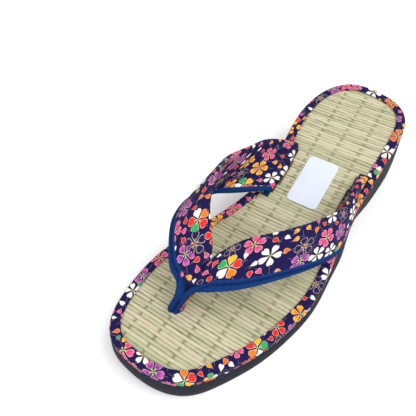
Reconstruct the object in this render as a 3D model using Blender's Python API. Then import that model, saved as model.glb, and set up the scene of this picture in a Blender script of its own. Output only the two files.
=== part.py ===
"""Left zori sandal: a wedge sole, a woven rush insole edged with printed cloth, and a V-shaped cloth strap.

Metres, +Z up. +X runs from heel to toe and +Y to the wearer's left, the outer side of this left sandal.
The origin is on the floor, in the middle of the heel's tread.
"""

import bmesh
import bpy
import numpy as np
from mathutils import Vector

# Driving sizes
LENGTH = 0.245  # heel to toe, along the footbed's edge
BALL_WIDTH = 0.085  # widest part of the footbed
HEEL_SEAT = 0.034  # from the back of the heel to the origin
HEEL_HEIGHT = 0.0447  # rush surface above the floor at the back of the heel
ARCH_RISE = 0.003  # height of the hollow under the waist
ARCH_SPAN = (0.27, 0.61)  # shares of the length where that hollow starts and ends
TOE_SPRING = 0.002  # rise of the sole's underside at the toe tip
TOE_SPRING_START = 0.8  # share of the length where that rise begins
TREAD_CHAMFER = 0.0012

# Footbed
RIM_DEPTH = 0.0053  # rush surface to the top of the wedge
BINDING_WIDTH = 0.0062  # cloth edge that shows from above
BINDING_CLOTH = 0.0012  # thickness of the padded edge cloth
BINDING_ROUND = 0.0024  # radius of its rolled outer edge
GAP = 0.0003  # running gap between pieces that touch
LABEL_LENGTH = 0.036
LABEL_WIDTH = 0.0205
LABEL_THICKNESS = 0.0005
LABEL_CORNER = 0.003
LABEL_PLACE = (0.0545, 0.0085)  # centre, ahead of and left of the origin
LABEL_TURN = 0.19  # radians, its front end outwards

# Strap
INSTEP = 0.042  # highest point of the strap above the rush
STRAP_THICKNESS = 0.003
STRAP_CROWN = 0.0022  # bulge of the band between its two edges
PIPING_WIDTH = 0.0052
PIPING_THICKNESS = 0.0042
V_CLEARANCE = 0.0015  # room where the two pipings turn down to the post
SLOT_DEPTH = 0.003
SLOT_RISE = 0.003  # height at which the strap stands right over its slot
SLOT_SLACK = 0.0004  # play on both sides of a strap end in its slot
SLOT_INSET = 0.0027  # middle of the slot, inwards from the cloth edge
POST_PIPING = 0.0036  # width and depth of each piping down the post
POST_THICKNESS = 0.0052
POST_SPREAD = 0.0021  # from the post's middle to the middle of each piping
POST_RISE = 0.002  # height over which the post stands straight up

# Half widths of the footbed as shares of BALL_WIDTH, before the two ends are rounded
OUTLINE_COLUMNS = ("station", "outer", "inner")
OUTLINE = (
    (0.0, 0.622, 0.618),
    (0.1, 0.523, 0.531),
    (0.2, 0.484, 0.440),
    (0.3, 0.484, 0.326),
    (0.4, 0.516, 0.233),
    (0.5, 0.591, 0.236),
    (0.6, 0.665, 0.289),
    (0.7, 0.692, 0.357),
    (0.8, 0.711, 0.407),
    (0.9, 0.755, 0.425),
    (1.0, 0.929, 0.472),
)
HEEL_ROUNDNESS = (2.55, 2.6)
TOE_ROUNDNESS = (2.52, 2.19)

# Height of the rush surface as a share of HEEL_HEIGHT
PROFILE_COLUMNS = ("station", "height")
PROFILE = (
    (0.0, 1.0),
    (0.17, 0.852),
    (0.33, 0.677),
    (0.5, 0.487),
    (0.67, 0.389),
    (0.83, 0.415),
    (1.0, 0.499),
)

# How far the sole's foot stands out past its top, at the back of the heel, all round and at the inner waist
HEEL_FLARE = 0.0022
SIDE_FLARE = 0.0009
WAIST_FLARE = 0.0045
WAIST_STATION = 0.45
WAIST_SPREAD = 0.13
HEEL_FLARE_SPREAD = 0.1
OUTER_SWAY = 0.005
SWAY_STATION = 0.38
SWAY_SPREAD = 0.09

# The band's front and rear edges: x as a share of LENGTH from the heel's back, y of BALL_WIDTH,
# height above the rush as a share of INSTEP; the bulge between them as a share of STRAP_CROWN.
# Each wing starts at the V and ends above its slot.
STRAP_COLUMNS = ("front_x", "front_y", "front_h", "rear_x", "rear_y", "rear_h", "crown")
V_MIDDLE = (0.833, 0.094, 0.583, 0.759, 0.106, 0.769, 0.4)
OUTER_WING = (
    (0.788, 0.271, 0.643, 0.690, 0.176, 0.871, 1.0),
    (0.743, 0.388, 0.700, 0.633, 0.294, 0.931, 1.0),
    (0.686, 0.482, 0.705, 0.571, 0.388, 0.886, 1.0),
    (0.633, 0.547, 0.645, 0.514, 0.429, 0.731, 1.0),
    (0.580, 0.584, 0.524, 0.449, 0.447, 0.519, 1.0),
    (0.522, 0.588, 0.330, 0.376, 0.424, 0.330, 1.0),
    (0.478, 0.520, 0.200, 0.310, 0.375, 0.190, 0.6),
)
INNER_WING = (
    (0.824, -0.047, 0.619, 0.727, 0.024, 0.869, 1.0),
    (0.788, -0.165, 0.667, 0.686, -0.106, 0.979, 1.0),
    (0.743, -0.276, 0.680, 0.629, -0.229, 0.990, 0.7),
    (0.686, -0.352, 0.605, 0.571, -0.312, 0.930, 0.1),
    (0.629, -0.385, 0.452, 0.510, -0.346, 0.795, -0.2),
    (0.571, -0.345, 0.290, 0.437, -0.316, 0.640, 0.1),
    (0.514, -0.218, 0.190, 0.359, -0.259, 0.398, 0.4),
)
OUTER_SLOT = (0.461, 0.278)  # stations of the slot's front and rear ends
INNER_SLOT = (0.463, 0.299)

# Toe post: foot and top of its front face, as shares of LENGTH, BALL_WIDTH and INSTEP
POST_COLUMNS = ("x", "y", "height")
POST_FOOT = (0.861, 0.059, 0.0)
POST_TOP = (0.838, 0.094, 0.47)
POST_DEPTH_FOOT = 0.0035  # of the cloth behind the two pipings
POST_DEPTH_TOP = 0.012

OUTLINE_POINTS = 144
BAND_COLUMNS = 9
ROWS_PER_STATION = 4
SLOT_KNOTS = (0.5, 0.8, 1.0)  # steps past a wing's last station: over the slot, at its mouth, at its bottom


def spline(xs, ys):
    """Natural cubic curve through the points, as a function of x."""
    xs = np.asarray(xs, float)
    ys = np.asarray(ys, float)
    n = len(xs)
    h = np.diff(xs)
    slope = np.diff(ys, axis=0) / h.reshape(-1, *[1] * (ys.ndim - 1))
    matrix = np.eye(n)
    right = np.zeros_like(ys)
    for i in range(1, n - 1):
        matrix[i, i - 1 : i + 2] = h[i - 1], 2 * (h[i - 1] + h[i]), h[i]
        right[i] = 6 * (slope[i] - slope[i - 1])
    bend = np.linalg.solve(matrix, right)

    def at(x):
        i = int(np.clip(np.searchsorted(xs, x) - 1, 0, n - 2))
        a, b = xs[i + 1] - x, x - xs[i]
        curve = (bend[i] * a**3 + bend[i + 1] * b**3) / (6 * h[i])
        ends = (ys[i] / h[i] - bend[i] * h[i] / 6) * a + (ys[i + 1] / h[i] - bend[i + 1] * h[i] / 6) * b
        return curve + ends

    return at


def column(table, names, name):
    return [row[names.index(name)] for row in table]


STATIONS = column(OUTLINE, OUTLINE_COLUMNS, "station")
outer_width = spline(STATIONS, column(OUTLINE, OUTLINE_COLUMNS, "outer"))
inner_width = spline(STATIONS, column(OUTLINE, OUTLINE_COLUMNS, "inner"))
profile = spline(column(PROFILE, PROFILE_COLUMNS, "station"), column(PROFILE, PROFILE_COLUMNS, "height"))


def station_x(station):
    return station * LENGTH - HEEL_SEAT


def station_of(x):
    return float(np.clip((x + HEEL_SEAT) / LENGTH, 0, 1))


def rush_height(x):
    return HEEL_HEIGHT * profile(station_of(x))


def end_rounding(station):
    along = 2 * station - 1
    power, root = TOE_ROUNDNESS if along > 0 else HEEL_ROUNDNESS
    return max(0.0, 1 - abs(along) ** power) ** (1 / root)


def outline():
    """The footbed's edge from above, anticlockwise from the toe, as points paired left and right."""
    points = []
    for turn in (np.arange(OUTLINE_POINTS) + 0.5) * 2 * np.pi / OUTLINE_POINTS:
        station = 0.5 + 0.5 * np.cos(turn)
        half = outer_width(station) if turn < np.pi else -inner_width(station)
        points.append((station_x(station), half * end_rounding(station) * BALL_WIDTH))
    return np.array(points)


def inwards(points, distance):
    """The outline moved inwards by a distance, which may differ from point to point."""
    along = np.roll(points, -1, 0) - np.roll(points, 1, 0)
    along /= np.linalg.norm(along, axis=1)[:, None]
    normal = np.stack([-along[:, 1], along[:, 0]], 1)
    return points + normal * np.broadcast_to(distance, len(points))[:, None]


EDGE = outline()


def sole_foot():
    """The edge where the sole meets the floor, which stands out past its top."""
    stations = (EDGE[:, 0] + HEEL_SEAT) / LENGTH
    waist = np.exp(-(((stations - WAIST_STATION) / WAIST_SPREAD) ** 2)) * (EDGE[:, 1] < 0)
    heel = np.exp(-((stations / HEEL_FLARE_SPREAD) ** 2))
    sway = (stations - SWAY_STATION) / SWAY_SPREAD
    sway = sway * np.exp(-(sway**2)) * (EDGE[:, 1] > 0)
    return inwards(EDGE, -(SIDE_FLARE + WAIST_FLARE * waist + HEEL_FLARE * heel + OUTER_SWAY * sway))


def floor_height(x):
    """Height of the sole's underside: flat under the heel and the ball, hollow at the waist, up at the toe."""
    station = (x + HEEL_SEAT) / LENGTH
    start, end = ARCH_SPAN
    hollow = float(np.clip((station - start) / (end - start), 0, 1))
    rise = max(0.0, station - TOE_SPRING_START) / (1 - TOE_SPRING_START)
    return ARCH_RISE * np.sin(np.pi * hollow) ** 2 + TOE_SPRING * rise**2


def at_height(points, height):
    return np.array([(x, y, height(x)) for x, y in points])


def make_object(name, mesh, material):
    bmesh.ops.recalc_face_normals(mesh, faces=mesh.faces)
    data = bpy.data.meshes.new(name)
    mesh.to_mesh(data)
    mesh.free()
    if material:
        data.materials.append(material)
    data.shade_smooth()
    data.set_sharp_from_angle(angle=0.7)
    made = bpy.data.objects.new(name, data)
    return made


def stack(name, rings, material):
    """A solid through closed rings, one above the other, whose ends are strips from left to right."""
    mesh = bmesh.new()
    rows = [[mesh.verts.new(p) for p in ring] for ring in rings]
    count = len(rings[0])
    for low, high in zip(rows, rows[1:]):
        for i in range(count):
            j = (i + 1) % count
            mesh.faces.new((low[i], low[j], high[j], high[i]))
    for row in (rows[0], rows[-1]):
        for i in range(count // 2 - 1):
            mesh.faces.new((row[i], row[i + 1], row[count - 2 - i], row[count - 1 - i]))
    return make_object(name, mesh, material)


def loft(name, loops, material):
    """A solid through closed loops, one after another, with flat ends."""
    mesh = bmesh.new()
    rows = [[mesh.verts.new(p) for p in loop] for loop in loops]
    count = len(loops[0])
    for first, second in zip(rows, rows[1:]):
        for i in range(count):
            j = (i + 1) % count
            mesh.faces.new((first[i], first[j], second[j], second[i]))
    mesh.faces.new(rows[0])
    mesh.faces.new(rows[-1])
    bmesh.ops.triangulate(mesh, faces=mesh.faces, quad_method="SHORT_EDGE")
    return make_object(name, mesh, material)


def edge_sweep(name, section, material):
    """A closed section of (inward distance, height above the rush) swept round the footbed's edge."""
    mesh = bmesh.new()
    rows = []
    for inward, height in section:
        ring = inwards(EDGE, inward)
        rows.append([mesh.verts.new((x, y, rush_height(x) + height)) for x, y in ring])
    for near, far in zip(rows, rows[1:] + rows[:1]):
        for i in range(len(EDGE)):
            j = (i + 1) % len(EDGE)
            mesh.faces.new((near[i], near[j], far[j], far[i]))
    return make_object(name, mesh, material)


def finish(name, colour, roughness):
    material = bpy.data.materials.new(name)
    material.use_nodes = True
    shader = material.node_tree.nodes["Principled BSDF"]
    shader.inputs["Base Color"].default_value = (*colour, 1)
    shader.inputs["Roughness"].default_value = roughness
    shader.inputs["Metallic"].default_value = 0
    material.diffuse_color = (*colour, 1)
    return material


def wedge_sole(material):
    foot = sole_foot()
    tread = inwards(foot, TREAD_CHAMFER)
    ground = at_height(tread, floor_height)
    edge = at_height(foot, floor_height) + (0, 0, TREAD_CHAMFER)
    top = at_height(EDGE, lambda x: rush_height(x) - RIM_DEPTH)
    return stack("wedge_sole", [ground, edge, top], material)


def slab_edge(inward, height):
    ring = inwards(EDGE, inward)
    return at_height(ring, lambda x: rush_height(x) + height)


def rush_insole(material):
    inward = BINDING_CLOTH + GAP
    return stack("rush_insole", [slab_edge(inward, GAP - RIM_DEPTH), slab_edge(inward, 0.0)], material)


def insole_label(material):
    """A thin plate with rounded corners, bent to the rush it lies on."""
    quarter = np.linspace(0, np.pi / 2, 5)
    long_half, short_half = LABEL_LENGTH / 2 - LABEL_CORNER, LABEL_WIDTH / 2 - LABEL_CORNER
    front = [(long_half + LABEL_CORNER * np.cos(a), short_half + LABEL_CORNER * np.sin(a)) for a in quarter]
    middle = [(long_half * k, LABEL_WIDTH / 2) for k in (0.6, 0.2, -0.2, -0.6)]
    left = [*front, *middle, *((-x, y) for x, y in front[::-1])]
    local = np.array([*left, *((x, -y) for x, y in left[::-1])])
    turn = np.array([[np.cos(LABEL_TURN), -np.sin(LABEL_TURN)], [np.sin(LABEL_TURN), np.cos(LABEL_TURN)]])
    ring = local @ turn.T + LABEL_PLACE
    levels = [at_height(ring, lambda x, h=h: rush_height(x) + h) for h in (GAP, GAP + LABEL_THICKNESS)]
    return stack("insole_label", levels, material)


def edge_binding(material):
    top = GAP + BINDING_CLOTH
    roll = [
        (BINDING_ROUND * (1 - np.cos(a)), top - BINDING_ROUND * (1 - np.sin(a)))
        for a in np.linspace(0, np.pi / 2, 5)
    ]
    lip = [(BINDING_WIDTH - BINDING_CLOTH / 2, top), (BINDING_WIDTH, top - BINDING_CLOTH / 2)]
    under = [(BINDING_WIDTH, GAP), (BINDING_CLOTH, GAP), (BINDING_CLOTH, GAP - RIM_DEPTH)]
    return edge_sweep("edge_binding", [(0, GAP - RIM_DEPTH), *roll, *lip, *under], material)


def slot_line(outer):
    """Distance left of the middle line, as a function of x, along the line of a strap slot."""
    ring = inwards(EDGE, BINDING_WIDTH + SLOT_INSET)
    half = len(ring) // 2
    side = ring[:half][::-1] if outer else ring[half:]
    return lambda x: float(np.interp(x, side[:, 0], side[:, 1]))


def wing_edge(row, end):
    """The front or rear edge point of one strap station, in metres."""
    x = station_x(row[STRAP_COLUMNS.index(end + "_x")])
    y = row[STRAP_COLUMNS.index(end + "_y")] * BALL_WIDTH
    return np.array([x, y, rush_height(x) + row[STRAP_COLUMNS.index(end + "_h")] * INSTEP])


def band_grid(outer):
    """Points of one wing's middle surface: rows from the V to the bottom of the slot, columns front to rear."""
    stations = [V_MIDDLE, *(OUTER_WING if outer else INNER_WING)]
    front = [wing_edge(row, "front") for row in stations]
    rear = [wing_edge(row, "rear") for row in stations]
    line = slot_line(outer)
    ends = [station_x(s) for s in (OUTER_SLOT if outer else INNER_SLOT)]
    shares = np.linspace(0, 1, BAND_COLUMNS)
    side = 1 if outer else -1
    rows = []
    for i, (f, r) in enumerate(zip(front, rear)):
        before, after = front[max(i - 1, 0)], front[min(i + 1, len(front) - 1)]
        out = np.cross(after - before, r - f) * side
        out = np.array([0, 0, 1.0]) if i == 0 else out / np.linalg.norm(out)
        crown = STRAP_CROWN * stations[i][STRAP_COLUMNS.index("crown")]
        rows.append([f + (r - f) * v + out * crown * 4 * v * (1 - v) for v in shares])
    xs = ends[0] + (ends[1] - ends[0]) * shares
    last = len(rows) - 1
    knots = [*range(last + 1), *(last + k for k in SLOT_KNOTS)]
    heights = (SLOT_RISE, 0, GAP - SLOT_DEPTH)
    rows += [[np.array([x, line(x), rush_height(x) + h]) for x in xs] for h in heights]
    curves = [spline(knots, [row[c] for row in rows]) for c in range(BAND_COLUMNS)]
    steps = [*np.arange(0, last, 1 / ROWS_PER_STATION), *np.linspace(last, last + 1, 2 * ROWS_PER_STATION)]
    return np.array([[curve(s) for curve in curves] for s in steps])


def band_normals(grid):
    """Outward unit normals of a whole band grid."""
    down = np.gradient(grid, axis=0)
    across = np.gradient(grid, axis=1)
    normal = np.cross(across, down)
    return normal / np.linalg.norm(normal, axis=2)[..., None]


def whole_band():
    """Both wings as one grid, from the bottom of the outer slot over the V to the bottom of the inner one."""
    grid = np.concatenate([band_grid(True)[::-1], band_grid(False)[1:]])
    return grid, band_normals(grid)


def trimmed(row, normals, start):
    """The part of one band row that lies more than a given distance behind its front edge."""
    lengths = np.concatenate([[0], np.cumsum(np.linalg.norm(np.diff(row, axis=0), axis=1))])
    places = np.linspace(start, lengths[-1], len(row))
    cut = np.stack([np.interp(places, lengths, row[:, k]) for k in range(3)], 1)
    facing = np.stack([np.interp(places, lengths, normals[:, k]) for k in range(3)], 1)
    return cut, facing / np.linalg.norm(facing, axis=1)[:, None]


def oval(centre, across, facing, width, depth, count=12):
    """A closed loop of a rounded strip: its width runs across, its depth in the facing direction."""
    loop = []
    for turn in (np.arange(count) + 0.5) * 2 * np.pi / count:
        c, s = np.cos(turn), np.sin(turn)
        side, out = np.sign(c) * abs(c) ** 0.7, np.sign(s) * abs(s) ** 0.7
        loop.append(centre + across * side * width / 2 + facing * out * depth / 2)
    return loop


def band_loop(points, normals, thickness):
    """A closed loop round one row of the band, with a rounded rear edge."""
    half = thickness / 2
    back = points[-1] - points[-2]
    rear = points[-1] + back / np.linalg.norm(back) * half * 0.7
    return [*(points + normals * half), rear, *(points - normals * half)[::-1]]


def wing_piping(row):
    """Width of a wing's piping some rows away from the V, where it is as narrow as on the post."""
    return POST_PIPING + (PIPING_WIDTH - POST_PIPING) * min(1.0, row / ROWS_PER_STATION)


def strap(material):
    grid, normals = whole_band()
    loops = []
    middle = len(grid) // 2
    for i, (row, facing) in enumerate(zip(grid, normals)):
        clear = V_CLEARANCE * np.exp(-(((i - middle) * 2 / ROWS_PER_STATION) ** 2))
        points, outwards = trimmed(row, facing, wing_piping(abs(i - middle)) + GAP + clear)
        loops.append(band_loop(points, outwards, STRAP_THICKNESS))
    return loft("strap", loops, material)


def post_point(row, inset=0.0):
    """A point of the post's front face, set back by some depth."""
    x, y, h = (row[POST_COLUMNS.index(name)] for name in POST_COLUMNS)
    x = station_x(x)
    return np.array([x - inset, y * BALL_WIDTH, rush_height(x) + h * INSTEP])


def post_line():
    """Points down the middle of the post's front face, from its top to the bottom of its hole."""
    top, foot = post_point(POST_TOP), post_point(POST_FOOT)
    rise = foot + (0, 0, POST_RISE)
    bottom = foot - (0, 0, SLOT_DEPTH - GAP)
    return [top, top * 0.5 + rise * 0.5, rise, foot, bottom]


def piping_frames(outer):
    """Centre, width direction, facing and size of the piping, from the slot's bottom to the post's."""
    side = 1 if outer else -1
    grid = band_grid(outer)
    normals = band_normals(grid) * -side
    frames = []
    for i in range(len(grid) - 1, ROWS_PER_STATION // 4, -1):
        row, width = grid[i], wing_piping(i)
        facing = trimmed(row, normals[i], width + GAP)[1][0]
        across = row[1] - row[0]
        across /= np.linalg.norm(across)
        depth = PIPING_THICKNESS * width / PIPING_WIDTH
        frames.append((row[0] + across * width / 2, across, facing, width, depth))
    forward = np.array([1.0, 0, 0])
    for k, point in enumerate(post_line()):
        spread = POST_SPREAD * (1.2 if k == 0 else 1)
        centre = point - forward * POST_PIPING / 2 + np.array([0, side * spread, 0])
        frames.append((centre, np.array([0, -side, 0.0]), forward, POST_PIPING, POST_PIPING))
    return frames


def piping(name, outer, material):
    frames = piping_frames(outer)
    centres = np.array([f[0] for f in frames])
    lengths = np.concatenate([[0], np.cumsum(np.linalg.norm(np.diff(centres, axis=0), axis=1))])
    curves = [spline(lengths, [f[k] for f in frames]) for k in range(3)]
    loops = []
    wing = len(frames) - len(post_line())
    places = [*lengths[: wing - 1], *np.linspace(lengths[wing - 1], lengths[-1], 30)]
    for place in places:
        centre, across, facing = (curve(place) for curve in curves)
        width, depth = (np.interp(place, lengths, [f[k] for f in frames]) for k in (3, 4))
        across = across / np.linalg.norm(across)
        facing = facing - across * np.dot(facing, across)
        loops.append(oval(centre, across, facing / np.linalg.norm(facing), width, depth))
    return loft(name, loops, material)


def toe_post(material):
    """The cloth wedge behind the two pipings, narrow at the foot and deep under the V."""
    front = post_line()
    depths = [POST_DEPTH_TOP, POST_DEPTH_TOP * 0.6 + POST_DEPTH_FOOT * 0.4, *[POST_DEPTH_FOOT] * 3]
    front_edge, rear_edge = wing_edge(V_MIDDLE, "front"), wing_edge(V_MIDDLE, "rear")
    slope = (rear_edge[2] - front_edge[2]) / (front_edge[0] - rear_edge[0])
    loops = []
    for k, (point, depth) in enumerate(zip(front, depths)):
        near = point - (POST_PIPING + GAP, 0, 0)
        far = near - (depth, 0, -slope * depth if k == 0 else 0)
        half = POST_THICKNESS / 2
        trim = min(depth, POST_THICKNESS) * 0.25
        inner = far + (trim, 0, (near[2] - far[2]) * trim / depth)
        loops.append([
            near + (0, half, 0),
            inner + (0, half, 0),
            far + (0, half - trim, 0),
            far - (0, half - trim, 0),
            inner - (0, half, 0),
            near - (0, half, 0),
        ])
    return loft("toe_post", loops, material)


def slot_cutter(name, outer):
    """The room that a strap end takes in the rush, with its gap."""
    line = slot_line(outer)
    ends = [station_x(s) for s in (OUTER_SLOT if outer else INNER_SLOT)]
    clear = GAP + STRAP_THICKNESS * 0.35
    xs = [*np.linspace(ends[1] - clear, ends[0] - PIPING_WIDTH - GAP / 2, 10), ends[0] - PIPING_WIDTH, ends[0] + GAP]
    loops = []
    for i, x in enumerate(xs):
        half = (STRAP_THICKNESS if i < 10 else PIPING_THICKNESS) / 2 + SLOT_SLACK
        y = line(x)
        low, high = rush_height(x) - SLOT_DEPTH, rush_height(x) + GAP
        loops.append([np.array([x, y + w, z]) for w, z in ((half, low), (half, high), (-half, high), (-half, low))])
    return loft(name, loops, None)


def post_cutter():
    foot = post_point(POST_FOOT)
    half = POST_SPREAD + POST_PIPING / 2 + GAP
    back = foot[0] - POST_PIPING - GAP - POST_DEPTH_FOOT - GAP
    loops = []
    for x in (foot[0] + GAP, back):
        y, low, high = foot[1], foot[2] - SLOT_DEPTH, foot[2] + RIM_DEPTH
        loops.append([np.array(p) for p in (
            (x, y + half, low), (x, y + half, high), (x, y - half, high), (x, y - half, low)
        )])
    return loft("post_hole", loops, None)


def cut(target, cutters, collection):
    for cutter in cutters:
        collection.objects.link(cutter)
        cutter.hide_render = True
        cutter.display_type = "WIRE"
        modifier = target.modifiers.new(cutter.name, "BOOLEAN")
        modifier.operation = "DIFFERENCE"
        modifier.solver = "EXACT"
        modifier.object = cutter


def main():
    for old in list(bpy.data.objects):
        bpy.data.objects.remove(old)
    parts = bpy.data.collections.new("zori_sandal")
    bpy.context.scene.collection.children.link(parts)
    rubber = finish("sole_rubber", (0.035, 0.042, 0.05), 0.75)
    rush = finish("rush", (0.62, 0.57, 0.38), 0.6)
    cloth = finish("printed_cloth", (0.03, 0.02, 0.12), 0.8)
    edging = finish("piping_cloth", (0.006, 0.03, 0.16), 0.7)
    paper = finish("label_cloth", (0.75, 0.75, 0.72), 0.6)
    insole = rush_insole(rush)
    cut(insole, [slot_cutter("outer_slot", True), slot_cutter("inner_slot", False), post_cutter()], parts)
    made = [wedge_sole(rubber), insole, edge_binding(cloth), strap(cloth), toe_post(cloth)]
    made += [piping("piping_outer", True, edging), piping("piping_inner", False, edging), insole_label(paper)]
    for piece in made:
        parts.objects.link(piece)


main()
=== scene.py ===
"""Looks of the left zori sandal: foam wedge, woven rush, sakura-print cotton and blue piping."""

import bpy
import numpy as np
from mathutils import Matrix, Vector


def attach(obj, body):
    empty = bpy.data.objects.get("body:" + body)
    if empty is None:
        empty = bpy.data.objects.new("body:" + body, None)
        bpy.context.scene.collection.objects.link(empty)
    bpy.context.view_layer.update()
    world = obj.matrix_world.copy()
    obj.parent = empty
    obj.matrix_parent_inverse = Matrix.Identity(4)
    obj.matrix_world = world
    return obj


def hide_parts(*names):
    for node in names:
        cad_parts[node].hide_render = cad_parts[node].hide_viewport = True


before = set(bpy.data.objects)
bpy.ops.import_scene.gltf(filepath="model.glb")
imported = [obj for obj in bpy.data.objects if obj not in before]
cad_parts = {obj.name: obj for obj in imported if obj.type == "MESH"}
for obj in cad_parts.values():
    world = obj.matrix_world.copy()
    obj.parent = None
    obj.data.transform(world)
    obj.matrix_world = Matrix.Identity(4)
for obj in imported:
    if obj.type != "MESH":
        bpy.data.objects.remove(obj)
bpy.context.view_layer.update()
scene = bpy.context.scene

# Sizes and tables of the solids in metres, repeated from the part file
LENGTH = 0.245
BALL_WIDTH = 0.085
HEEL_SEAT = 0.034
HEEL_HEIGHT = 0.0447
ARCH_RISE = 0.003
ARCH_SPAN = (0.27, 0.61)
TOE_SPRING = 0.002
TOE_SPRING_START = 0.8
TREAD_CHAMFER = 0.0012
RIM_DEPTH = 0.0053
BINDING_WIDTH = 0.0062
BINDING_CLOTH = 0.0012
BINDING_ROUND = 0.0024
GAP = 0.0003
LABEL_LENGTH = 0.036
LABEL_WIDTH = 0.0205
LABEL_THICKNESS = 0.0005
LABEL_CORNER = 0.003
LABEL_PLACE = (0.0545, 0.0085)
LABEL_TURN = 0.19
INSTEP = 0.042
STRAP_THICKNESS = 0.003
STRAP_CROWN = 0.0022
PIPING_WIDTH = 0.0052
PIPING_THICKNESS = 0.0042
SLOT_DEPTH = 0.003
SLOT_RISE = 0.003
SLOT_INSET = 0.0027
POST_PIPING = 0.0036
POST_THICKNESS = 0.0052
POST_RISE = 0.002
# Station along the length, then the outer and the inner half width as shares of the ball's width
OUTLINE = (
    (0.0, 0.622, 0.618), (0.1, 0.523, 0.531), (0.2, 0.484, 0.440), (0.3, 0.484, 0.326),
    (0.4, 0.516, 0.233), (0.5, 0.591, 0.236), (0.6, 0.665, 0.289), (0.7, 0.692, 0.357),
    (0.8, 0.711, 0.407), (0.9, 0.755, 0.425), (1.0, 0.929, 0.472),
)
HEEL_ROUNDNESS = (2.55, 2.6)
TOE_ROUNDNESS = (2.52, 2.19)
# Station, then the footbed's height as a share of the heel's
PROFILE = ((0.0, 1.0), (0.17, 0.852), (0.33, 0.677), (0.5, 0.487), (0.67, 0.389), (0.83, 0.415), (1.0, 0.499))
HEEL_FLARE = 0.0022
SIDE_FLARE = 0.0009
WAIST_FLARE = 0.0045
WAIST_STATION = 0.45
WAIST_SPREAD = 0.13
HEEL_FLARE_SPREAD = 0.1
OUTER_SWAY = 0.005
SWAY_STATION = 0.38
SWAY_SPREAD = 0.09
# Station, place aside and height over the footbed of the front edge, the same of the rear edge, and the crown
V_MIDDLE = (0.833, 0.094, 0.583, 0.759, 0.106, 0.769, 0.4)
OUTER_WING = (
    (0.788, 0.271, 0.643, 0.690, 0.176, 0.871, 1.0),
    (0.743, 0.388, 0.700, 0.633, 0.294, 0.931, 1.0),
    (0.686, 0.482, 0.705, 0.571, 0.388, 0.886, 1.0),
    (0.633, 0.547, 0.645, 0.514, 0.429, 0.731, 1.0),
    (0.580, 0.584, 0.524, 0.449, 0.447, 0.519, 1.0),
    (0.522, 0.588, 0.330, 0.376, 0.424, 0.330, 1.0),
    (0.478, 0.520, 0.200, 0.310, 0.375, 0.190, 0.6),
)
INNER_WING = (
    (0.824, -0.047, 0.619, 0.727, 0.024, 0.869, 1.0),
    (0.788, -0.165, 0.667, 0.686, -0.106, 0.979, 1.0),
    (0.743, -0.276, 0.680, 0.629, -0.229, 0.990, 0.7),
    (0.686, -0.352, 0.605, 0.571, -0.312, 0.930, 0.1),
    (0.629, -0.385, 0.452, 0.510, -0.346, 0.795, -0.2),
    (0.571, -0.345, 0.290, 0.437, -0.316, 0.640, 0.1),
    (0.514, -0.218, 0.190, 0.359, -0.259, 0.398, 0.4),
)
OUTER_SLOT = (0.461, 0.278)
INNER_SLOT = (0.463, 0.299)
# Station, place aside and height over the footbed
POST_FOOT = (0.861, 0.059, 0.0)
POST_TOP = (0.838, 0.094, 0.47)
POST_DEPTH_FOOT = 0.0035
POST_DEPTH_TOP = 0.012
SLOT_KNOTS = (0.5, 0.8, 1.0)

# How the strap's cloth lies: tucked under the piping, pleated into the slots, folded in where the wings meet,
# and rolled up at the outer wing's rear end; rows are counted from the V
CLOTH_TUCK = 0.0009
CROTCH_CLOTH = 0.0018
CROTCH_ROWS = 6
PLEAT_DEPTH = 0.0004
PLEATS = 3.5
PLEAT_DRIFT = 0.05
PLEATS_START = 0.62
PLEATS_GROW = 0.3
SEAM_DEPTH = 0.0017
SEAM_ROWS = 1.1
ROLL_DEPTH = 0.0034
ROLL_HEIGHT = 0.0052
ROLL_SPREAD = 0.003
REAR_FOLD = 3.6
FRONT_FOLD = 3.0

# The piping: each cord's widths down the post, its turn and shift there, and the sewn flange with its groove
OUTER_CORD = (0.0034, 0.0027, 0.0024, 0.0023, 0.0023)
INNER_CORD = (0.0042, 0.0036, 0.0033, 0.0031, 0.0031)
POST_TURN = 0.5
POST_SHIFT = 0.0005
FLANGE_WIDTH = 0.0076
FLANGE_DROOP = 0.0018
DROOP_ROWS = 10
LAST_CORD_ROW = 9
FLANGE_HEIGHT = 0.74
CORD_SWELL = 0.3
CORD_SPREAD = 0.38
GROOVE_DEPTH = 0.24
GROOVE_PLACE = -0.02
GROOVE_SPREAD = 0.1

# The post's cloth starts above the solid's top by a share of its height, and thins towards its rear edge
POST_OVERLAP = 0.15
POST_KNOTS = (0, 0.45, 0.86, 0.93, 1.0)
POST_CLOTH = 26.0
POST_THINS = 0.7

# How far the sole's side bulges, and the binding's puckers: waves round the shoe, then the height and the
# spread in mm of those on its inner and its outer roll, and the latter's place in mm along its section
SIDE_BULGE = 0.0006
PUCKERS = (61, 97, 139, 173)
INNER_PUCKER = (0.00012, 1.6)
OUTER_PUCKER = (0.00007, 1.2)
OUTER_PLACE = 0.8

# The mat: its strands and the warp threads that tie them, and the openings round the slots
MAT_TURN = 0.19
MAT_UNDERLAP = 0.0022
STRAND_PITCH = 0.0023
STRAND_STEP = 0.0013
STRAND_HEIGHT = 0.0005
STRAND_SECTION = ((-0.5, 0.0), (-0.39, 0.66), (-0.16, 1.0), (0.16, 1.0), (0.39, 0.66), (0.5, 0.0))
STRAND_DRIFT = 0.00024
DRIFT_SPAN = 0.011
STRAND_RIPPLE = 0.00008
RIPPLE_SPAN = 0.005
WARP_PITCH = 0.029
WARP_SPREAD = 0.0009
SLOT_MOUTH = (0.0019, 0.0018)
SLOT_ENDS = (0.0012, 0.0004)
SLOT_SHADE = (0.003, 0.0036)
STRAND_SHIFT = 37.0

# Outline and height of each ring of the label
LABEL_RINGS = ((1, 0), (1, 0.7), (0.992, 0.93), (0.98, 1.0), (0.6, 1.0), (0.2, 1.0), (0.01, 1.0))

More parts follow.
